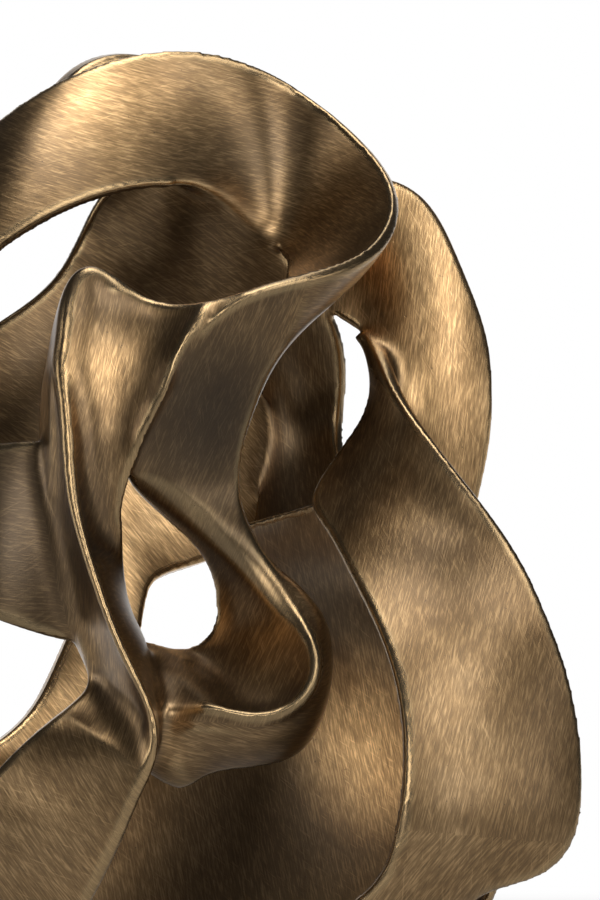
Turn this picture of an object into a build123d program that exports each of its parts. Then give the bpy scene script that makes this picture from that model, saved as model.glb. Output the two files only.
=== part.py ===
from build123d import *
import os

# Sizes in millimetres
HEIGHT = 412.0            # floor to crest
DRAWN_HEIGHT = 412.0      # the height at which the ribs below are drawn
SCALE = HEIGHT / DRAWN_HEIGHT
BAND_THICKNESS = 10.0 * SCALE         # a flat band along its middle
EDGE_THICKNESS = BAND_THICKNESS / 2   # a flat band at its two edges
REAR_THICKNESS = 14.0 * SCALE         # the rear band, which is rounder
REAR_EDGE_THICKNESS = 9.0 * SCALE
CORNER_CUT = 4.0 * SCALE  # how far the corners of the ridged front band are cut back
SIDE_SWELL = 0.04         # how far a ridged band's side swells, as a share of its width
PAD_THICKNESS = 2.0       # felt pads, which the ground feet stand on
PAD_DIAMETER = 9.0
PAD_PLACES = [(34, 20), (70, -88), (-101, -57), (-130, 20)]
RISING = (Align.CENTER, Align.CENTER, Align.MIN)
FRONT_FOOT_WEDGE = 13     # where the front band is joined to its foot


def spot(x, y, z):
    return Vector(x, y, z) * SCALE


def rib(edge_a, edge_b, cup=0.0):
    """One slice across a flat band: its two edges, and how far its middle is cupped."""
    return spot(*edge_a), spot(*edge_b), cup * SCALE


def heading(points, index):
    """The way a band runs at one of its ribs."""
    before = points[max(index - 1, 0)]
    after = points[min(index + 1, len(points) - 1)]
    return (after - before).normalized()


def rib_plane(ribs, index):
    """The plane of one rib, with its x across the band."""
    middles = [(a + b) / 2 for a, b, cup in ribs]
    ahead = heading(middles, index)
    edge_a, edge_b, cup = ribs[index]
    across = (edge_b - edge_a).normalized()
    face_side = across.cross(ahead).normalized()
    return Plane(middles[index], x_dir=across, z_dir=across.cross(face_side))


def blade(ribs, index, thickness, edge_thickness):
    """The closed outline of a flat band at one rib."""
    edge_a, edge_b, cup = ribs[index]
    half = (edge_b - edge_a).length / 2
    edge, middle = edge_thickness / 2, thickness / 2
    front = ThreePointArc((-half, edge), (0, middle + cup), (half, edge))
    end_b = Line((half, edge), (half, -edge))
    back = ThreePointArc((half, -edge), (0, cup - middle), (-half, -edge))
    end_a = Line((-half, -edge), (-half, edge))
    return rib_plane(ribs, index) * make_face([front, end_b, back, end_a])


def flat_band(ribs, thickness=BAND_THICKNESS, edge_thickness=EDGE_THICKNESS):
    """A band lofted through its ribs."""
    return loft([blade(ribs, index, thickness, edge_thickness) for index in range(len(ribs))])


def wedge(corner_a, corner_b, corner_c):
    """The closed outline of a ridged band: three swelling sides with their corners cut back."""
    corners = [spot(*corner_a), spot(*corner_b), spot(*corner_c)]
    centre = (corners[0] + corners[1] + corners[2]) / 3
    lines = []
    for index, corner in enumerate(corners):
        before, after = corners[index - 1], corners[(index + 1) % 3]
        cut_in = min(CORNER_CUT, (before - corner).length / 4)
        cut_out = min(CORNER_CUT, (after - corner).length / 4)
        start = corner + (before - corner).normalized() * cut_in
        finish = corner + (after - corner).normalized() * cut_out
        next_start = after + (corner - after).normalized() * cut_out
        middle = (finish + next_start) / 2
        side = (after - corner).normalized()
        outward = middle - centre
        outward = (outward - side * outward.dot(side)).normalized()
        swell = middle + outward * (after - corner).length * SIDE_SWELL
        lines.append(Line(start, finish))
        lines.append(ThreePointArc(finish, swell, next_start))
    return make_face(lines)


def ridged_band(wedges):
    return loft([wedge(*w) for w in wedges])


CROWN_RIBS = [
    rib((-150, 36, -8), (-110, 4, -8)),
    rib((-154, 40, 64), (-113, 6, 64)),
    rib((-159, 38, 138), (-119, -2, 134)),
    rib((-162, 28, 212), (-126, -20, 198)),
    rib((-152, 13, 290), (-126, -37, 258)),
    rib((-122, 8, 352), (-113, -40, 300)),
    rib((-88, 10, 384), (-88, -34, 324), 2),
    rib((-50, 17, 404), (-47, -16, 344), -2),
    rib((-8, 27, 410), (-5, 10, 345), -5),
    rib((32, 32, 397), (22, 26, 326), -6),
    rib((63, 14, 372), (33, 15, 315), -6),
    rib((81, -20, 342), (33, -14, 306), -5),
    rib((69, -56, 316), (30, -42, 287), -3),
    rib((40, -79, 305), (22, -57, 262)),
    rib((5, -89, 292), (14, -61, 238)),
    rib((-19, -91, 263), (11, -60, 219)),
    rib((-30, -88, 243), (13, -60, 206)),
    rib((-38, -81, 224), (18, -62, 195)),
    rib((-27, -67, 206), (26, -66, 181)),
    rib((-7, -57, 187), (35, -72, 166)),
    rib((2, -51, 167), (43, -81, 152)),
    rib((2, -49, 153), (47, -90, 136)),
    rib((-4, -47, 144), (38, -97, 119)),
    rib((-12, -45, 140), (19, -100, 113)),
    rib((-23, -44, 141), (-4, -97, 116)),
    rib((-36, -44, 143), (-28, -91, 120)),
]

SLING_RIBS = [
    rib((20, -66, 180), (22, -56, 180)),
    rib((31, -69, 169), (36, -57, 166)),
    rib((41, -75, 156), (48, -57, 150)),
    rib((45, -86, 135), (48, -62, 122)),
    rib((36, -93, 118), (39, -69, 101)),
    rib((15, -96, 111), (19, -73, 93)),
    rib((-6, -94, 112), (-2, -73, 89)),
    rib((-33, -88, 120), (-30, -70, 89)),
]

FRONT_WEDGES = [
    ((16, -83, 300), (14, -91, 296), (17, -82, 291)),
    ((-4, -82, 297), (-2, -94, 287), (0, -80, 283)),
    ((-20, -78, 297), (-11, -98, 272), (-14, -76, 274)),
    ((-36, -74, 304), (-16, -99, 257), (-29, -70, 272)),
    ((-50, -73, 313), (-20, -98, 246), (-46, -63, 278)),
    ((-60, -76, 311), (-25, -96, 236), (-61, -57, 281)),
    ((-66, -82, 293), (-29, -93, 226), (-72, -52, 273)),
    ((-67, -91, 262), (-34, -87, 213), (-77, -49, 250)),
    ((-63, -100, 228), (-37, -78, 198), (-78, -49, 222)),
    ((-56, -108, 194), (-37, -67, 178), (-77, -54, 192)),
    ((-43, -117, 157), (-32, -58, 153), (-68, -60, 158)),
    ((-28, -123, 126), (-27, -52, 128), (-57, -72, 134)),
    ((-22, -125, 108), (-31, -50, 108), (-58, -79, 126)),
    ((-25, -123, 90), (-38, -54, 98), (-66, -88, 119)),
    ((-35, -118, 66), (-49, -60, 82), (-80, -96, 108)),
    ((-49, -111, 36), (-64, -65, 62), (-97, -100, 91)),
    ((-68, -96, 6), (-82, -65, 43), (-113, -93, 68)),
    ((-92, -70, -8), (-100, -54, 30), (-129, -72, 46)),
    ((-115, -38, -6), (-114, -30, 24), (-139, -42, 36)),
    ((-127, -6, -4), (-123, -2, 22), (-142, -10, 36)),
    ((-133, 24, -6), (-125, 25, 26), (-145, 21, 40)),
]

LEFT_ARM_RIBS = [
    rib((-62, -76, 228), (-48, -74, 148)),
    rib((-76, -66, 233), (-66, -72, 147)),
    rib((-93, -62, 232), (-92, -74, 155)),
    rib((-115, -52, 230), (-115, -62, 163)),
    rib((-136, -28, 224), (-136, -36, 172)),
    rib((-146, -2, 214), (-146, -8, 180)),
]

THROUGH_RIBS = [
    rib((-150, 8, 250), (-150, 4, 202)),
    rib((-122, 14, 271), (-124, 8, 213)),
    rib((-96, 21, 289), (-98, 14, 226)),
    rib((-76, 29, 305), (-73, 26, 230)),
    rib((-63, 34, 326), (-50, 41, 241)),
    rib((-49, 28, 349), (-26, 53, 254)),
    rib((-22, 14, 354), (-4, 62, 261)),
    rib((8, 20, 343), (12, 68, 261)),
    rib((32, 30, 319), (23, 72, 254)),
    rib((53, 42, 290), (26, 75, 238)),
    rib((58, 52, 256), (22, 75, 216)),
    rib((60, 39, 222), (18, 65, 190)),
    rib((57, 12, 194), (14, 40, 166)),
]

BOWL_RIBS = [
    rib((50, -14, 207), (8, 40, 194)),
    rib((74, -32, 186), (4, 56, 172), -5),
    rib((104, -51, 158), (2, 68, 148), -12),
    rib((126, -61, 126), (-6, 77, 122), -20),
    rib((134, -66, 92), (-26, 80, 94), -27),
    rib((130, -70, 58), (-52, 76, 60), -32),
    rib((118, -72, 26), (-70, 68, 28), -33),
    rib((106, -72, -8), (-80, 58, -8), -32),
]

RIGHT_LOOP_RIBS = [
    rib((36, 32, 305), (46, 23, 346)),
    rib((46, 41, 299), (75, 40, 354), -2),
    rib((55, 39, 291), (95, 40, 344), -4),
    rib((64, 30, 285), (108, 33, 322), -4),
    rib((70, 22, 277), (120, 27, 291), -4),
    rib((72, 15, 265), (125, 21, 259), -4),
    rib((73, 12, 252), (124, 19, 234), -4),
    rib((79, 12, 234), (119, 19, 209), -3),
    rib((86, 13, 208), (114, 17, 182)),
    rib((84, 11, 184), (107, 10, 157)),
    rib((77, 5, 162), (95, -2, 134)),
]

RIGHT_BAND_RIBS = [
    rib((67, 30, 281), (68, 22, 284)),
    rib((71, 22, 272), (75, 8, 273)),
    rib((72, 14, 259), (80, -6, 260)),
    rib((69, 8, 247), (87, -16, 248)),
    rib((61, 2, 234), (97, -26, 234)),
    rib((50, -4, 219), (109, -35, 218)),
    rib((44, -14, 206), (122, -42, 201), -2),
    rib((50, -29, 194), (135, -48, 181), -4),
    rib((61, -50, 174), (146, -52, 157), -4),
    rib((74, -72, 147), (155, -55, 131), -4),
    rib((82, -88, 117), (160, -58, 104), -4),
    rib((83, -97, 89), (161, -62, 80), -4),
    rib((80, -100, 66), (156, -68, 57), -3),
    rib((73, -100, 46), (141, -75, 44)),
    rib((60, -98, 33), (121, -80, 38)),
    rib((48, -97, 15), (106, -80, 19)),
    rib((39, -95, -3), (95, -80, -3)),
]

REAR_RIBS = [
    rib((-143, 14, 66), (-132, 24, 34)),
    rib((-119, 9, 84), (-99, 14, 52)),
    rib((-100, 13, 97), (-74, 21, 71)),
    rib((-82, 28, 115), (-53, 35, 94)),
    rib((-72, 38, 136), (-42, 45, 121)),
    rib((-61, 50, 166), (-35, 52, 150)),
    rib((-55, 62, 203), (-26, 62, 171)),
    rib((-42, 74, 228), (-8, 73, 177)),
    rib((-18, 81, 248), (14, 80, 188)),
    rib((6, 83, 267), (34, 80, 212)),
    rib((18, 81, 290), (46, 77, 252)),
    rib((20, 83, 316), (52, 80, 292)),
    rib((12, 80, 342), (46, 80, 336)),
    rib((-6, 71, 364), (24, 74, 374)),
    rib((-28, 60, 380), (-10, 63, 402)),
    rib((-52, 47, 388), (-48, 47, 411)),
    rib((-74, 31, 373), (-76, 30, 390)),
    rib((-92, 6, 352), (-100, 4, 366)),
]


def rib_middle(ribs, index):
    return rib_plane(ribs, index).from_local_coords((0, ribs[index][2], 0))


def wedge_middle(index):
    corners = [spot(*corner) for corner in FRONT_WEDGES[index]]
    return (corners[0] + corners[1] + corners[2]) / 3


def wedge_plane(index):
    corners = [spot(*corner) for corner in FRONT_WEDGES[index]]
    side, other_side = corners[1] - corners[0], corners[2] - corners[0]
    return Plane(wedge_middle(index), x_dir=side, z_dir=side.cross(other_side))


def sawn(band, plane, before, after):
    """A band sawn through at a plane: the length that holds each of two points."""
    saw = Face.make_rect(HEIGHT / 4, HEIGHT / 4, plane)
    lengths = []
    for piece in band.split(saw, keep=Keep.BOTH):
        lengths += piece.solids()
    first = [length for length in lengths if length.is_inside(before)][0]
    second = [length for length in lengths if length.is_inside(after)][0]
    return first, second


def sawn_at_rib(band, ribs, index):
    plane = rib_plane(ribs, index)
    return sawn(band, plane, rib_middle(ribs, index - 1), rib_middle(ribs, index + 1))


def seated(piece, *neighbours):
    """A piece cut back to lie against its neighbours."""
    for neighbour in neighbours:
        piece = max((piece - neighbour).solids(), key=lambda solid: solid.volume)
    return piece


def ground(piece):
    """A piece with its foot ground flat at the pads' height."""
    kept = piece.split(Plane.XY.offset(PAD_THICKNESS), keep=Keep.TOP)
    return max(kept.solids(), key=lambda solid: solid.volume)


def crown_lengths():
    """The crown's ribbon in three lengths: its left loop, its top and the loop inside the knot."""
    ribbon = flat_band(CROWN_RIBS).solid()
    left_loop, rest = sawn_at_rib(ribbon, CROWN_RIBS, 4)
    crown_band, inner_loop = sawn_at_rib(rest, CROWN_RIBS, 13)
    return left_loop, crown_band, inner_loop


def front_lengths():
    """The ridged front band and the foot it runs into."""
    ribbon = ridged_band(FRONT_WEDGES).solid()
    cut = FRONT_FOOT_WEDGE
    return sawn(ribbon, wedge_plane(cut), wedge_middle(cut - 1), wedge_middle(cut + 1))


def right_lengths():
    """The broad right band and the foot it runs into."""
    return sawn_at_rib(flat_band(RIGHT_BAND_RIBS).solid(), RIGHT_BAND_RIBS, 12)


def castings():
    left_loop, crown_band, inner_loop = crown_lengths()
    front_band, front_foot = front_lengths()
    right_band, right_foot = right_lengths()
    through_band, rear_column = sawn_at_rib(flat_band(THROUGH_RIBS).solid(), THROUGH_RIBS, 8)
    rear = flat_band(REAR_RIBS, REAR_THICKNESS, REAR_EDGE_THICKNESS).solid()
    rear_band, rear_arch = sawn_at_rib(rear, REAR_RIBS, 11)

    front_foot = seated(front_foot, left_loop)
    inner_loop = seated(inner_loop, front_band)
    sling_band = seated(flat_band(SLING_RIBS).solid(), front_band, front_foot, inner_loop)
    left_arm = seated(flat_band(LEFT_ARM_RIBS).solid(), front_band, left_loop)
    right_loop = seated(flat_band(RIGHT_LOOP_RIBS).solid(), crown_band)
    right_band = seated(right_band, right_loop)
    bowl_band = seated(flat_band(BOWL_RIBS).solid(), right_band, right_foot, right_loop)
    through_band = seated(through_band, crown_band, left_loop, right_loop)
    rear_column = seated(rear_column, right_loop, bowl_band)
    rear_band = seated(rear_band, left_loop, through_band, rear_column)
    rear_arch = seated(rear_arch, crown_band, through_band)
    return {
        "left_loop": ground(left_loop),
        "crown_band": crown_band,
        "inner_loop": inner_loop,
        "sling_band": sling_band,
        "front_band": front_band,
        "front_foot": ground(front_foot),
        "left_arm": left_arm,
        "through_band": through_band,
        "rear_column": rear_column,
        "rear_band": rear_band,
        "rear_arch": rear_arch,
        "right_loop": right_loop,
        "right_band": right_band,
        "right_foot": ground(right_foot),
        "bowl_band": ground(bowl_band),
    }


def foot_pads():
    """The felt discs under the four feet."""
    pad = Cylinder(PAD_DIAMETER / 2, PAD_THICKNESS, align=RISING)
    return Compound([(Pos(spot(x, y, 0)) * pad).solid() for x, y in PAD_PLACES])


def main():
    os.makedirs("parts", exist_ok=True)
    pieces = castings()
    pieces["foot_pads"] = foot_pads()
    whole = Compound(list(pieces.values())).bounding_box()
    to_centre = Location((-whole.center().X, -whole.center().Y, 0))
    for name, piece in pieces.items():
        export_step(piece.moved(to_centre), f"parts/{name}.step")


if __name__ == "__main__":
    main()
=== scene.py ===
import heapq
import math

import bmesh
import bpy
import numpy as np
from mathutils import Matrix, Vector
from mathutils.bvhtree import BVHTree


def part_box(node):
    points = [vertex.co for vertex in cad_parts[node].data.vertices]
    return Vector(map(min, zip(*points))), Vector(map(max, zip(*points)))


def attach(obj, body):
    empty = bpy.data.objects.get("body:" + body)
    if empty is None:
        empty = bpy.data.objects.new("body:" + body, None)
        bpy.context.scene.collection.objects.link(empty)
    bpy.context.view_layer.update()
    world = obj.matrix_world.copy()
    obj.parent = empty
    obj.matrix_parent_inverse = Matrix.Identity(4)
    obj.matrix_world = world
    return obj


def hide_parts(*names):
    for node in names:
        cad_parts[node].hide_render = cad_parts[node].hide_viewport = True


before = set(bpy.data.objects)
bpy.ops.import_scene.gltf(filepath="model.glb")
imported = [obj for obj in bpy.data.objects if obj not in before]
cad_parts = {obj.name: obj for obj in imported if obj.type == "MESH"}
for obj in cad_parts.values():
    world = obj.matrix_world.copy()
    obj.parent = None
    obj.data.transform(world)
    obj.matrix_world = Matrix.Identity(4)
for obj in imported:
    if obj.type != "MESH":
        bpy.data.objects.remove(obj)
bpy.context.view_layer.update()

MM = 0.001
SPECK = 0.01 * MM   # spots closer than this are one

# The castings, each with the way its surface was brushed: turns about X, Y and Z in degrees
BRUSHED = {
    "left_loop": (0, 8, 0),
    "crown_band": (0, 74, 10),
    "inner_loop": (0, -24, 0),
    "sling_band": (0, 70, 20),
    "front_band": (0, -10, 15),
    "front_foot": (0, 38, 20),
    "left_arm": (0, 84, 30),
    "through_band": (0, 60, -10),
    "rear_column": (0, 6, 0),
    "rear_band": (0, 40, 0),
    "rear_arch": (0, 80, 0),
    "right_loop": (0, -8, 0),
    "right_band": (0, -14, 0),
    "right_foot": (0, -40, 20),
    "bowl_band": (0, 12, 0),
}

# How pale each casting is where it isn't as usual: partly its patina, partly painted light and shade
PATINA_AND_PAINTED_LIGHT_BY_CASTING = {"inner_loop": 0.60, "left_arm": 0.45, "through_band": 0.85, "sling_band": 0.90, "right_loop": 1.95,
          "rear_band": 2.1, "rear_column": 0.70, "front_band": 1.20}

# Where the colour is made paler or darker, as painted highlights and painted shade, partly uneven patina:
# place and reach in millimetres, and how pale
PATINA_AND_PAINTED_LIGHT_SPOTS = [
    ((68, 32, 98), 50, 3.2),       # inside the bowl at the right
    ((16, 40, 45), 70, 0.40),      # the bowl's floor
    ((-44, -70, 262), 30, 1.5),    # the front band's dish
    ((-44, -60, 300), 30, 0.50),   # its top
    ((-34, -69, 107), 30, 1.7),    # its ridge lower down
    ((-56, 18, 398), 50, 1.5),     # the crest
    ((-38, 30, 364), 40, 1.4),     # the crown below it
    ((-76, 20, 353), 40, 0.65),    # the crown's left end
    ((56, 26, 335), 45, 2.2),      # the crown's curl
    ((20, 46, 362), 30, 0.55),     # the hollow before it
    ((-2, -58, 245), 44, 0.30),    # the inner loop's top
    ((12, -46, 190), 25, 0.55),    # its middle
    ((21, -40, 140), 45, 2.4),     # its foot
    ((-70, 45, 255), 45, 0.60),    # the through band behind the left arm
    ((-82, -50, 195), 60, 0.55),   # the left arm's end
    ((106, -34, 177), 40, 0.70),   # the right band's upper part
    ((47, 40, 174), 35, 0.60),     # the bowl's lip
]

# How deep the front of a casting is dished between its rims, in millimetres
DISHED = {"front_band": 5.0, "inner_loop": 3.0}

# Finishing of the knot's skin
GRAIN = 1.2 * MM   # size of the mesh's squares
WELD_REACH = 18.0 * MM   # how far from a seat the weld is ground smooth
WELD_EASE = 11.0 * MM    # how widely a weld is ground
RIM_ROUNDS = 16          # light grinding of the whole skin, which keeps its thickness
STEP_IN, STEP_OUT = 0.5, -0.515   # the two halves of each round
BEND_WIDTH = 2.5 * MM    # how widely a bend is measured
SHARP_BEND = (8.0, 25.0)   # bends per metre: from a gentle dish or swell to a crease or rim
HOLLOW_WIDTH = 8.0 * MM  # how far the grinding spreads out of a hollow
RIM_WIDTH = 3.0 * MM     # how far it keeps off a rim
DISH_WIDTH = 24.0 * MM   # how far from a rim a dish reaches its depth
DISH_EDGE = 3.0 * MM     # how softly it starts
NEAR = 24.0 * MM         # castings further from a spot than this are not its neighbours
BORDER_ROUNDS = 12       # evening out of the borders between castings
CAP_DEPTH = 2.0 * MM     # how far below the skin a parted piece is closed
SAMPLE_STEP = 8          # openness is measured at each eighth spot
RAYS = 32                # in this many directions
OPEN_WIDTH = 8.0 * MM    # and evened out over this width
KNOT_REACH = 0.4         # further than anything on the knot
# This width also spreads the painted light and shade between castings, as well as the patina
PATINA_AND_PAINTED_LIGHT_WIDTH = 14.0 * MM   # how softly the patina changes between castings
WEAR_WIDTH = 4.0 * MM    # how widely a rim is worn
WORN_BEND = 60.0         # the bend, per metre, that wears through
SLOPE_WIDTH = 2.5 * MM   # how widely the facing is evened out

# Where the crown's lower rim was ground away into the band behind it, and the sling's end into the front band
GROUND_AWAY = [(-11, 28, 347), (3, 31, 342), (13, 37, 336), (21, 42, 329), (-22, -56, 85)]
GROUND_AWAY_REACH = 16.0

# Where folds and a rim were eased: place and reach in millimetres, and how far
EASED = [
    ((-59, -57, 310), 20, 0.15), ((-45, -57, 306), 20, 0.15),   # the front band's top rim
    ((-28, -60, 299), 20, 0.15), ((-10, -64, 295), 20, 0.15),
    ((24, 44, 362), 36, 0.8),      # the crown's curl
    ((14, -46, 188), 28, 0.6),     # the inner loop's middle
    ((-16, -64, 122), 22, 1.0),    # where the sling meets the front band
]


# Building the skin
def poured():
    """All the castings in one mesh, as they meet."""
    shape = bmesh.new()
    for name in BRUSHED:
        shape.from_mesh(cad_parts[name].data)
    bmesh.ops.remove_doubles(shape, verts=shape.verts, dist=SPECK)
    mesh = bpy.data.meshes.new("knot")
    shape.to_mesh(mesh)
    shape.free()
    knot = bpy.data.objects.new("knot", mesh)
    bpy.context.scene.collection.objects.link(knot)
    return knot


def remeshed(piece):
    step = piece.modifiers.new("grain", "REMESH")
    step.mode = "VOXEL"
    step.voxel_size = GRAIN


def settled(piece):
    """Makes the modifiers' result the piece's own mesh."""
    bpy.context.view_layer.update()
    made = bpy.data.meshes.new_from_object(piece.evaluated_get(bpy.context.evaluated_depsgraph_get()))
    piece.modifiers.clear()
    old = piece.data
    piece.data = made
    bpy.data.meshes.remove(old)


class Skin:
    """A mesh's spots and the threads between them, for grinding and for measuring bends."""

    def __init__(self, mesh):
        self.mesh = mesh
        self.spots = np.empty(len(mesh.vertices) * 3, np.float32)
        mesh.vertices.foreach_get("co", self.spots)
        self.spots = self.spots.reshape(-1, 3).astype(float)
        self.ends = np.empty(len(mesh.edges) * 2, np.int32)
        mesh.edges.foreach_get("vertices", self.ends)
        self.ends = self.ends.reshape(-1, 2)
        self.count = np.bincount(self.ends.ravel(), minlength=len(self.spots))

    def around(self, values):
        """The mean of each spot's neighbours."""
        if values.ndim == 2:
            return np.column_stack([self.around(column) for column in values.T])
        first, second = self.ends.T
        total = np.bincount(first, values[second], len(values))
        total += np.bincount(second, values[first], len(values))
        return total / self.count

    def spread(self, values, width):
        """Values evened out over about a width."""
        for _ in range(round((width / GRAIN) ** 2)):
            values = (values + self.around(values)) / 2
        return values

    def moved(self, share):
        """Moves each spot a share of the way to the mean of its neighbours."""
        self.spots += np.reshape(share, (-1, 1)) * (self.around(self.spots) - self.spots)

    def rounded(self, rounds):
        """Rounds the rims: each step in is followed by one out, so that nothing gets thinner."""
        for _ in range(rounds):
            self.moved(STEP_IN)
            self.moved(STEP_OUT)

    def ground(self, width, share):
        """Grinds a share of the skin over about a width."""
        for _ in range(round((width / GRAIN) ** 2)):
            self.moved(0.5 * share)

    def settle(self):
        self.mesh.vertices.foreach_set("co", self.spots.astype(np.float32).ravel())
        self.mesh.update()

    def slopes(self):
        """The way the skin faces at each spot."""
        self.settle()
        slopes = np.empty(len(self.spots) * 3, np.float32)
        self.mesh.vertices.foreach_get("normal", slopes)
        return slopes.reshape(-1, 3)

    def bends(self):
        """How sharply the skin bends at each spot: above nought on rims, below in hollows."""
        proud = np.sum((self.spots - self.around(self.spots)) * self.slopes(), axis=1)
        return self.spread(proud / GRAIN ** 2, BEND_WIDTH)


def sharpness(bends):
    gentle, sharp = SHARP_BEND
    return np.clip((bends - gentle) / (sharp - gentle), 0.0, 1.0)


def distances(spots):
    """How far each spot is from each casting, in the castings' order."""
    table = np.full((len(BRUSHED), len(spots)), NEAR, np.float32)
    for row, name in enumerate(BRUSHED):
        shape = bmesh.new()
        shape.from_mesh(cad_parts[name].data)
        tree = BVHTree.FromBMesh(shape)
        shape.free()
        low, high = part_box(name)
        close = np.all((spots > np.array(low) - NEAR) & (spots < np.array(high) + NEAR), axis=1)
        for index in np.nonzero(close)[0]:
            found = tree.find_nearest(Vector(spots[index]), NEAR)
            if found[0] is not None:
                table[row, index] = found[3]
    return table


def weld_share(skin, table):
    """How far each spot is ground: in the hollows beside a seat, but not on a rim or ridge."""
    second = np.sort(table, axis=0)[1]
    beside = np.clip(1.5 - 1.5 * second / WELD_REACH, 0.0, 1.0)
    bends = skin.bends()
    hollow = np.clip(3 * skin.spread(sharpness(-bends), HOLLOW_WIDTH), 0.0, 1.0)
    rim = np.clip(3 * skin.spread(sharpness(bends), RIM_WIDTH), 0.0, 1.0)
    share = beside * hollow * (1 - rim)
    for place in GROUND_AWAY:
        share = np.maximum(share, nearness(skin, place, GROUND_AWAY_REACH))
    for place, reach, most in EASED:
        share = np.maximum(share, most * nearness(skin, place, reach))
    return share


def nearness(skin, place, reach):
    """One at a place, falling to nought at a reach from it, both in millimetres."""
    apart = np.linalg.norm(skin.spots - np.array(place) * MM, axis=1) / (reach * MM)
    return np.clip(1 - apart ** 2, 0.0, 1.0)


def dish(skin, owner):
    """Sinks the front faces of some castings in a curve from rim to rim."""
    slopes = skin.slopes()
    flat = skin.bends() < SHARP_BEND[0]
    for row, name in enumerate(BRUSHED):
        if name not in DISHED:
            continue
        inside = ((owner == row) & flat & (slopes[:, 1] < -0.3)).astype(float)
        depth = np.zeros(len(inside))
        for _ in range(round((DISH_WIDTH / GRAIN) ** 2)):
            depth = inside * (depth + skin.around(depth) + 1) / 2
        depth *= DISHED[name] * MM / np.percentile(depth[inside > 0], 95)
        skin.spots -= skin.spread(depth, DISH_EDGE)[:, None] * slopes


def openness(skin):
    """How much of the room each spot sees: near nought deep inside the knot. The finish paints shade from it.
    """
    slopes = skin.slopes()
    shape = bmesh.new()
    shape.from_mesh(skin.mesh)
    tree = BVHTree.FromBMesh(shape)
    shape.free()
    turns = np.arange(RAYS) * math.pi * (3 - math.sqrt(5))
    heights = 1 - (np.arange(RAYS) + 0.5) / (RAYS / 2)
    widths = np.sqrt(1 - heights ** 2)
    ways = [Vector(way) for way in zip(widths * np.cos(turns), widths * np.sin(turns), heights)]
    seen = np.zeros(len(slopes))
    asked = np.zeros(len(slopes))
    for index in range(0, len(slopes), SAMPLE_STEP):
        slope = Vector(slopes[index])
        start = Vector(skin.spots[index]) + slope * MM
        facing = [(way, way.dot(slope)) for way in ways if way.dot(slope) > 0.15]
        free = sum(share for way, share in facing if tree.ray_cast(start, way, KNOT_REACH)[0] is None)
        seen[index] = free / sum(share for way, share in facing)
        asked[index] = 1
    return skin.spread(seen, OPEN_WIDTH) / np.maximum(skin.spread(asked, OPEN_WIDTH), 1e-6)


def skinned():
    """The knot with its welds filled and ground."""
    knot = poured()
    remeshed(knot)
    settled(knot)
    skin = Skin(knot.data)
    skin.rounded(RIM_ROUNDS)
    table = distances(skin.spots)
    owner = np.argmin(table, axis=0)
    dish(skin, owner)
    skin.ground(WELD_EASE, weld_share(skin, table))
    skin.rounded(2)
    # Paleness of each casting: its patina, with painted light and shade on some castings
    patina_and_painted_light = skin.spread(np.array([PATINA_AND_PAINTED_LIGHT_BY_CASTING.get(name, 1.0) for name in BRUSHED])[owner], PATINA_AND_PAINTED_LIGHT_WIDTH)
    # Spots made paler or darker: painted highlights and painted shade, partly uneven patina
    for place, reach, gain in PATINA_AND_PAINTED_LIGHT_SPOTS:
        patina_and_painted_light *= 1 + (gain - 1) * nearness(skin, place, reach)
    worn = skin.spread(skin.bends(), WEAR_WIDTH) / WORN_BEND
    keep(knot.data, "wear", "FLOAT", np.clip(0.5 + worn, 0.0, 1.0))
    keep(knot.data, "patina_and_painted_light", "FLOAT", patina_and_painted_light)
    # Openness, from which the finish paints shade into the recesses
    keep(knot.data, "open", "FLOAT", openness(skin))
    keep(knot.data, "slope", "FLOAT_VECTOR", skin.spread(skin.slopes(), SLOPE_WIDTH))
    return knot


def keep(mesh, name, kind, values):
    """Stores a value for each spot, under a name that the finishes read."""
    store = mesh.attributes.new(name, kind, "POINT")
    store.data.foreach_set("value" if kind == "FLOAT" else "vector", values.astype(np.float32).ravel())


def neighbours(mesh):
    """Pairs of faces that share an edge."""
    shape = bmesh.new()
    shape.from_mesh(mesh)
    pairs = [[face.index for face in edge.link_faces] for edge in shape.edges if len(edge.link_faces) == 2]
    shape.free()
    return np.array(pairs)


def voted(owner, pairs, rounds):
    """Evens out the borders: a face goes over to the casting that most of its neighbours belong to."""
    for _ in range(rounds):
        votes = np.zeros((len(owner), len(BRUSHED)), np.float32)
        votes[np.arange(len(owner)), owner] = 1.5
        np.add.at(votes, (pairs[:, 0], owner[pairs[:, 1]]), 1)
        np.add.at(votes, (pairs[:, 1], owner[pairs[:, 0]]), 1)
        owner = np.argmax(votes, axis=1)
    return owner


def islands(owner, pairs):
    """Numbers the connected patches of faces with one owner."""
    patch = np.arange(len(owner))
    same = pairs[owner[pairs[:, 0]] == owner[pairs[:, 1]]]
    while True:
        lowest = patch.copy()
        np.minimum.at(lowest, same[:, 0], patch[same[:, 1]])
        np.minimum.at(lowest, same[:, 1], patch[same[:, 0]])
        lowest = lowest[lowest]
        if np.array_equal(lowest, patch):
            return patch
        patch = lowest


def without_islands(owner, pairs):
    """Gives each stray patch to the casting around it, so that every casting is one patch."""
    for _ in range(8):
        patch = islands(owner, pairs)
        size = np.bincount(patch, minlength=len(owner))
        largest = {}
        for number in np.unique(patch):
            name = owner[number]
            if name not in largest or size[number] > size[largest[name]]:
                largest[name] = number
        stray = ~np.isin(patch, list(largest.values()))
        if not stray.any():
            break
        for number in np.unique(patch[stray]):
            first, second = patch[pairs[:, 0]] == number, patch[pairs[:, 1]] == number
            touching = np.concatenate([pairs[first, 1], pairs[second, 0]])
            touching = touching[patch[touching] != number]
            if len(touching):
                owner[patch == number] = np.bincount(owner[touching]).argmax()
    return owner


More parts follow.
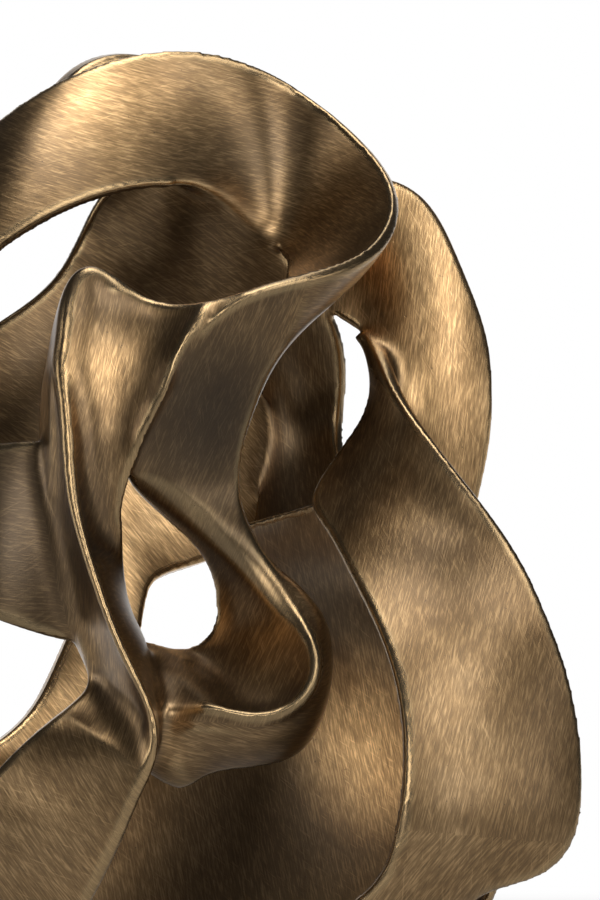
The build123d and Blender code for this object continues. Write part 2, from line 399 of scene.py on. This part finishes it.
def parted(knot):
    """Parts the skin into one piece for each casting."""
    mesh = knot.data
    middles = np.empty(len(mesh.polygons) * 3, np.float32)
    mesh.polygons.foreach_get("center", middles)
    owner = np.argmin(distances(middles.reshape(-1, 3)), axis=0)
    pairs = neighbours(mesh)
    owner = without_islands(voted(owner, pairs, BORDER_ROUNDS), pairs)
    for name in BRUSHED:
        mesh.materials.append(bpy.data.materials.new("of_" + name))
    mesh.polygons.foreach_set("material_index", owner.astype(np.int32))
    mesh.polygons.foreach_set("use_smooth", np.ones(len(owner), bool))
    bpy.ops.object.select_all(action="DESELECT")
    bpy.context.view_layer.objects.active = knot
    knot.select_set(True)
    bpy.ops.object.mode_set(mode="EDIT")
    bpy.ops.mesh.separate(type="MATERIAL")
    bpy.ops.object.mode_set(mode="OBJECT")
    return [o for o in bpy.context.selected_objects if o.type == "MESH"]


def loops_of(rims):
    """The open edges, as loops of vertices in order."""
    left = set(rims)
    while left:
        edge = left.pop()
        start, here = edge.verts
        loop = [start, here]
        while True:
            following = [e for e in here.link_edges if e in left]
            if not following:
                break
            left.discard(following[0])
            here = following[0].other_vert(here)
            if here is start:
                break
            loop.append(here)
        yield loop


def zipped(shape, loop):
    """Closes a loop with triangles, the shortest bridge first."""
    count = len(loop)
    after = {i: (i + 1) % count for i in range(count)}
    before = {i: (i - 1) % count for i in range(count)}
    queue = [((loop[before[i]].co - loop[after[i]].co).length, i, before[i], after[i]) for i in range(count)]
    heapq.heapify(queue)
    made = []
    while len(after) > 2 and queue:
        _, i, a, b = heapq.heappop(queue)
        if i not in after or before[i] != a or after[i] != b:
            continue
        corners = (loop[a], loop[i], loop[b])
        if len(set(corners)) == 3 and not shape.faces.get(corners):
            made.append(shape.faces.new(corners))
        del after[i], before[i]
        after[a], before[b] = b, a
        for j in (a, b):
            reach = (loop[before[j]].co - loop[after[j]].co).length
            heapq.heappush(queue, (reach, j, before[j], after[j]))
    return made


def capped(piece):
    """Closes a piece below the skin, where it was parted from its neighbours."""
    shape = bmesh.new()
    shape.from_mesh(piece.data)
    rims = [edge for edge in shape.edges if edge.is_boundary]
    depth = {vert.index: -CAP_DEPTH * vert.normal for edge in rims for vert in edge.verts}
    made = bmesh.ops.extrude_edge_only(shape, edges=rims)["geom"]
    walls = [item for item in made if isinstance(item, bmesh.types.BMFace)]
    sunk = [item for item in made if isinstance(item, bmesh.types.BMVert)]
    outer = {vert for edge in rims for vert in edge.verts}
    for vert in sunk:
        above = [e.other_vert(vert) for e in vert.link_edges if e.other_vert(vert) in outer]
        vert.co += depth[above[0].index]
    caps = list(walls)
    inner = [e for e in shape.edges if e.is_boundary]
    for loop in list(loops_of(inner)):
        caps += zipped(shape, loop)
    for face in caps:
        face.smooth = False
    bmesh.ops.recalc_face_normals(shape, faces=shape.faces)
    shape.to_mesh(piece.data)
    shape.free()


def faced(mesh):
    """Faces a parted piece's skin the way it did before it was parted."""
    slopes = np.empty(len(mesh.vertices) * 3, np.float32)
    mesh.attributes["slope"].data.foreach_get("vector", slopes)
    corners = np.empty(len(mesh.loops), np.int32)
    mesh.loops.foreach_get("vertex_index", corners)
    smooth = np.empty(len(mesh.polygons), bool)
    mesh.polygons.foreach_get("use_smooth", smooth)
    sides = np.empty(len(mesh.polygons), np.int32)
    mesh.polygons.foreach_get("loop_total", sides)
    slopes = slopes.reshape(-1, 3)
    slopes /= np.maximum(np.linalg.norm(slopes, axis=1), 1e-6)[:, None]
    facing = slopes[corners]
    facing[~np.repeat(smooth, sides)] = 0.0
    mesh.attributes.remove(mesh.attributes["slope"])
    mesh.normals_split_custom_set(facing)


# Finishes
class Recipe:
    """A material's nodes, joined up by name."""

    def __init__(self, name):
        self.material = bpy.data.materials.new(name)
        self.material.use_nodes = True
        self.tree = self.material.node_tree
        self.shader = self.tree.nodes["Principled BSDF"]

    def node(self, kind, **settings):
        made = self.tree.nodes.new(kind)
        for key, value in settings.items():
            setattr(made, key, value)
        return made

    def join(self, source, target):
        self.tree.links.new(source, target)

    def place(self, scale=(1, 1, 1), turn=(0, 0, 0)):
        """Object coordinates, turned and then stretched."""
        coordinates = self.node("ShaderNodeTexCoord")
        turned = self.node("ShaderNodeMapping", vector_type="POINT")
        turned.inputs["Rotation"].default_value = [math.radians(angle) for angle in turn]
        self.join(coordinates.outputs["Object"], turned.inputs["Vector"])
        stretched = self.node("ShaderNodeMapping", vector_type="POINT")
        stretched.inputs["Scale"].default_value = scale
        self.join(turned.outputs["Vector"], stretched.inputs["Vector"])
        return stretched.outputs["Vector"]

    def noise(self, where, scale, detail=2.0, rough=0.5):
        made = self.node("ShaderNodeTexNoise")
        made.inputs["Scale"].default_value = scale
        made.inputs["Detail"].default_value = detail
        made.inputs["Roughness"].default_value = rough
        self.join(where, made.inputs["Vector"])
        return made.outputs["Fac"]

    def ramp(self, value, *stops):
        """A value taken from one range to another, or through colours."""
        made = self.node("ShaderNodeValToRGB")
        elements = made.color_ramp.elements
        while len(elements) < len(stops):
            elements.new(0.5)
        for element, (position, colour) in zip(elements, stops):
            element.position = position
            element.color = (*colour, 1) if hasattr(colour, "__len__") else (colour, colour, colour, 1)
        self.join(value, made.inputs["Fac"])
        return made.outputs["Color"]

    def math(self, work, first, second):
        made = self.node("ShaderNodeMath", operation=work)
        for socket, value in zip(made.inputs, (first, second)):
            if hasattr(value, "links"):
                self.join(value, socket)
            else:
                socket.default_value = value
        return made.outputs["Value"]

    def grey(self, value):
        """A value as a colour, which may be above one."""
        made = self.node("ShaderNodeCombineColor")
        for socket in made.inputs:
            self.join(value, socket)
        return made.outputs["Color"]

    def blend(self, share, first, second, kind="MIX"):
        made = self.node("ShaderNodeMix", data_type="RGBA", blend_type=kind)
        for socket, value in zip((made.inputs[0], made.inputs[6], made.inputs[7]), (share, first, second)):
            if hasattr(value, "links"):
                self.join(value, socket)
            else:
                socket.default_value = value if not hasattr(value, "__len__") else (*value, 1)
        return made.outputs[2]


def bronze(name, turn):
    """Patinated bronze, brushed by hand along one casting, with light and shade painted into its colour."""
    recipe = Recipe(name)
    even = recipe.place()
    wear, patina_and_painted_light, open_air = (recipe.node("ShaderNodeAttribute", attribute_name=kept).outputs["Fac"]
                              for kept in ("wear", "patina_and_painted_light", "open"))

    clouds = recipe.noise(even, 16, 4, 0.55)
    mottle = recipe.noise(even, 70, 5, 0.6)
    tone = recipe.math("ADD", recipe.math("MULTIPLY", clouds, 0.65), recipe.math("MULTIPLY", mottle, 0.35))
    colour = recipe.ramp(tone, (0.32, (0.124, 0.071, 0.028)), (0.50, (0.174, 0.105, 0.044)),
                         (0.68, (0.227, 0.143, 0.065)))

    # Painted shade: darker and warmer where a spot sees little of the room, in the recesses, with the darker
    # patina there
    depth = recipe.ramp(open_air, (0.02, (0.30, 0.22, 0.13)), (0.34, (1.0, 1.0, 1.0)))
    colour = recipe.blend(1.0, colour, depth, "MULTIPLY")
    # Paleness from the patina, with painted highlights and painted shade
    colour = recipe.blend(1.0, colour, recipe.grey(patina_and_painted_light), "MULTIPLY")

    along = recipe.noise(recipe.place((1, 0.09, 0.08), turn), 1600, 3, 0.6)
    across = recipe.noise(recipe.place((1, 0.07, 0.05), (turn[0], turn[1] + 34, turn[2] - 12)), 1500, 3, 0.6)
    scratch = recipe.ramp(along, (0.50, 0.0), (0.66, 1.0))
    groove = recipe.ramp(along, (0.34, 1.0), (0.48, 0.0))
    stray = recipe.ramp(across, (0.60, 0.0), (0.70, 1.0))
    colour = recipe.blend(recipe.math("MULTIPLY", groove, 0.45), colour, (0.070, 0.042, 0.018))
    paler = recipe.blend(1.0, colour, (2.4, 2.55, 2.8), "MULTIPLY")
    colour = recipe.blend(recipe.math("MULTIPLY", scratch, 0.55), colour, paler)
    colour = recipe.blend(recipe.math("MULTIPLY", stray, 0.50), colour, paler)

    edges = recipe.ramp(wear, (0.60, 0.0), (0.90, 1.0))
    hollows = recipe.ramp(wear, (0.10, 1.0), (0.42, 0.0))
    colour = recipe.blend(recipe.math("MULTIPLY", edges, 0.22), colour, (0.56, 0.41, 0.21))
    colour = recipe.blend(recipe.math("MULTIPLY", hollows, 0.6), colour, (0.060, 0.038, 0.022))

    pits = recipe.ramp(recipe.noise(even, 640, 2, 0.5), (0.22, 1.0), (0.27, 0.0))
    colour = recipe.blend(recipe.math("MULTIPLY", pits, 0.7), colour, (0.045, 0.030, 0.020))
    recipe.join(colour, recipe.shader.inputs["Base Color"])

    dull = recipe.math("ADD", recipe.math("MULTIPLY", mottle, 0.14), 0.26)
    dull = recipe.math("SUBTRACT", dull, recipe.math("MULTIPLY", edges, 0.08))
    recipe.join(dull, recipe.shader.inputs["Roughness"])
    recipe.shader.inputs["Metallic"].default_value = 1.0
    recipe.shader.inputs["Coat Weight"].default_value = 0.4
    recipe.shader.inputs["Coat Roughness"].default_value = 0.30

    grooves = recipe.math("ADD", recipe.math("MULTIPLY", along, 0.5), recipe.math("MULTIPLY", across, 0.3))
    grooves = recipe.math("ADD", grooves, recipe.math("MULTIPLY", pits, -0.5))
    bump = recipe.node("ShaderNodeBump")
    bump.inputs["Strength"].default_value = 0.60
    bump.inputs["Distance"].default_value = 0.25 * MM
    recipe.join(grooves, bump.inputs["Height"])
    recipe.join(bump.outputs["Normal"], recipe.shader.inputs["Normal"])
    return recipe.material


def felt():
    """Pressed dark felt."""
    recipe = Recipe("pressed_felt")
    fibres = recipe.noise(recipe.place((1, 1, 0.4)), 2600, 4, 0.7)
    recipe.join(recipe.ramp(fibres, (0.3, (0.020, 0.017, 0.015)), (0.75, (0.085, 0.072, 0.062))),
                recipe.shader.inputs["Base Color"])
    recipe.shader.inputs["Roughness"].default_value = 0.95
    bump = recipe.node("ShaderNodeBump")
    bump.inputs["Strength"].default_value = 0.6
    bump.inputs["Distance"].default_value = 0.2 * MM
    recipe.join(fibres, bump.inputs["Height"])
    recipe.join(bump.outputs["Normal"], recipe.shader.inputs["Normal"])
    return recipe.material


# Pieces
def castings():
    for piece in parted(skinned()):
        name = piece.data.materials[piece.data.polygons[0].material_index].name.removeprefix("of_")
        piece.name = piece.data.name = name + "_skin"
        capped(piece)
        faced(piece.data)
        piece.data.materials.clear()
        piece.data.materials.append(bronze(name + "_bronze", BRUSHED[name]))
        piece.data.polygons.foreach_set("material_index", np.zeros(len(piece.data.polygons), np.int32))
        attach(piece, "root")
        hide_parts(name)


def felt_pads():
    """A disc with a soft edge in place of each CAD pad."""
    source = bmesh.new()
    source.from_mesh(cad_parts["foot_pads"].data)
    bmesh.ops.remove_doubles(source, verts=source.verts, dist=SPECK)
    shape = bmesh.new()
    todo = set(source.verts)
    while todo:
        pad = {todo.pop()}
        edge_of_pad = set(pad)
        while edge_of_pad:
            edge_of_pad = {e.other_vert(v) for v in edge_of_pad for e in v.link_edges} & todo
            todo -= edge_of_pad
            pad |= edge_of_pad
        spots = [v.co for v in pad]
        low = Vector(map(min, *spots))
        high = Vector(map(max, *spots))
        made = bmesh.ops.create_cone(shape, cap_ends=True, segments=48, radius1=(high.x - low.x) / 2,
                                     radius2=(high.x - low.x) / 2, depth=high.z - low.z)["verts"]
        bmesh.ops.translate(shape, verts=made, vec=(low + high) / 2)
    source.free()
    rims = [e for e in shape.edges if abs(e.verts[0].co.z - e.verts[1].co.z) < SPECK]
    bmesh.ops.bevel(shape, geom=rims, offset=0.5 * MM, segments=3, profile=0.5, affect="EDGES", material=-1)
    mesh = bpy.data.meshes.new("felt_pads")
    shape.to_mesh(mesh)
    shape.free()
    pads = bpy.data.objects.new("felt_pads", mesh)
    bpy.context.scene.collection.objects.link(pads)
    mesh.materials.append(felt())
    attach(pads, "root")
    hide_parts("foot_pads")


# Studio
PICTURE_MIDDLE = Vector((0.03918, 0.01599, 0.2295))
CAMERA_DISTANCE = 2.4
PICTURE_HEIGHT = 0.405    # what the picture's height takes in at that distance
LAMP_DISTANCE = 2.0
ROOM_LIGHT = (0.06, 0.06, 0.062)
WHITE = (0.7, 0.7, 0.7)
FLOOR_HALF = 30           # half the floor's width
FLOOR_FADE = (0.10, 0.40)   # where the floor turns to plain white behind the knot
BACKDROP_AWAY = 6
BACKDROP_HALF = 4
BACKDROP_HEIGHT = 5.3

# Each softbox with its way from the knot, its size and its brightness
SOFTBOXES = [
    ("top_softbox", (0.10, -0.35, 0.93), 0.9, 4.6),
    ("over_softbox", (-0.05, -0.10, 0.99), 0.8, 4.8),
    ("upper_right_softbox", (0.45, -0.65, 0.60), 0.8, 4.6),
    ("front_softbox", (-0.15, -0.94, 0.30), 0.8, 5.4),
    ("front_right_softbox", (0.58, -0.78, 0.20), 0.8, 2.5),
    ("front_left_softbox", (-0.55, -0.80, 0.20), 0.8, 0.5),
    ("left_softbox", (-0.98, -0.15, 0.12), 0.8, 2.6),
    ("right_softbox", (0.88, -0.45, 0.18), 0.8, 1.6),
    ("back_softbox", (0.00, 0.30, 0.95), 0.9, 2.0),
]


def photographed():
    camera = bpy.data.cameras.new("camera")
    camera.lens = camera.sensor_width * CAMERA_DISTANCE / PICTURE_HEIGHT
    camera.clip_end = 50
    holder = bpy.data.objects.new("camera", camera)
    bpy.context.scene.collection.objects.link(holder)
    holder.location = PICTURE_MIDDLE - Vector((0, CAMERA_DISTANCE, 0))
    holder.rotation_euler = (math.radians(90), 0, 0)
    bpy.context.scene.camera = holder


def softbox(name, way, size, level):
    """A square lamp of a given brightness in one direction from the knot, which it faces."""
    lamp = bpy.data.lights.new(name, "AREA")
    lamp.shape = "SQUARE"
    lamp.size = size
    lamp.energy = level * math.pi * size ** 2
    holder = bpy.data.objects.new(name, lamp)
    bpy.context.scene.collection.objects.link(holder)
    holder.location = PICTURE_MIDDLE + LAMP_DISTANCE * Vector(way).normalized()
    holder.location.z = max(holder.location.z, size / 2 + 0.05)
    holder.rotation_euler = (PICTURE_MIDDLE - holder.location).to_track_quat("-Z", "Y").to_euler()


def lit():
    for name, way, size, level in SOFTBOXES:
        softbox(name, way, size, level)


def studio_white(name, glow_share=None):
    """A white surface that the camera, and metal, see as plain white."""
    recipe = Recipe(name)
    recipe.shader.inputs["Base Color"].default_value = (*WHITE, 1)
    recipe.shader.inputs["Roughness"].default_value = 0.8
    glow = recipe.node("ShaderNodeEmission")
    path = recipe.node("ShaderNodeLightPath")
    seen = recipe.math("MAXIMUM", path.outputs["Is Camera Ray"], path.outputs["Is Glossy Ray"])
    seen = recipe.math("MAXIMUM", seen, path.outputs["Is Transmission Ray"])
    if glow_share:
        seen = recipe.math("MULTIPLY", seen, glow_share(recipe))
    mix = recipe.node("ShaderNodeMixShader")
    recipe.join(seen, mix.inputs["Fac"])
    recipe.join(recipe.shader.outputs["BSDF"], mix.inputs[1])
    recipe.join(glow.outputs["Emission"], mix.inputs[2])
    recipe.join(mix.outputs["Shader"], recipe.tree.nodes["Material Output"].inputs["Surface"])
    return recipe.material


def behind_knot(recipe):
    """Rises to one behind the knot, which is the part of the floor that the camera takes in."""
    parts = recipe.node("ShaderNodeSeparateXYZ")
    recipe.join(recipe.place(), parts.inputs["Vector"])
    fade = recipe.node("ShaderNodeMapRange", interpolation_type="SMOOTHSTEP")
    for socket, value in zip(fade.inputs[1:5], (*FLOOR_FADE, 0.0, 1.0)):
        socket.default_value = value
    recipe.join(parts.outputs["Y"], fade.inputs["Value"])
    return fade.outputs["Result"]


def screen(name, corners, material):
    """A flat part of the studio, from its corners."""
    shape = bmesh.new()
    shape.faces.new([shape.verts.new(corner) for corner in corners])
    mesh = bpy.data.meshes.new(name)
    shape.to_mesh(mesh)
    shape.free()
    made = bpy.data.objects.new(name, mesh)
    bpy.context.scene.collection.objects.link(made)
    mesh.materials.append(material)


def surroundings():
    """A white floor and backdrop in a dim room."""
    half = FLOOR_HALF
    corners = [(-half, -half, 0), (half, -half, 0), (half, half, 0), (-half, half, 0)]
    screen("floor", corners, studio_white("white_floor", behind_knot))
    half, away, high = BACKDROP_HALF, BACKDROP_AWAY, BACKDROP_HEIGHT
    corners = [(-half, away, 0), (half, away, 0), (half, away, high), (-half, away, high)]
    screen("backdrop", corners, studio_white("white_backdrop"))
    world = bpy.data.worlds.new("studio")
    bpy.context.scene.world = world
    world.use_nodes = True
    world.node_tree.nodes["Background"].inputs["Color"].default_value = (*ROOM_LIGHT, 1)


castings()
felt_pads()
photographed()
lit()
surroundings()
bpy.context.scene.view_settings.view_transform = "Standard"
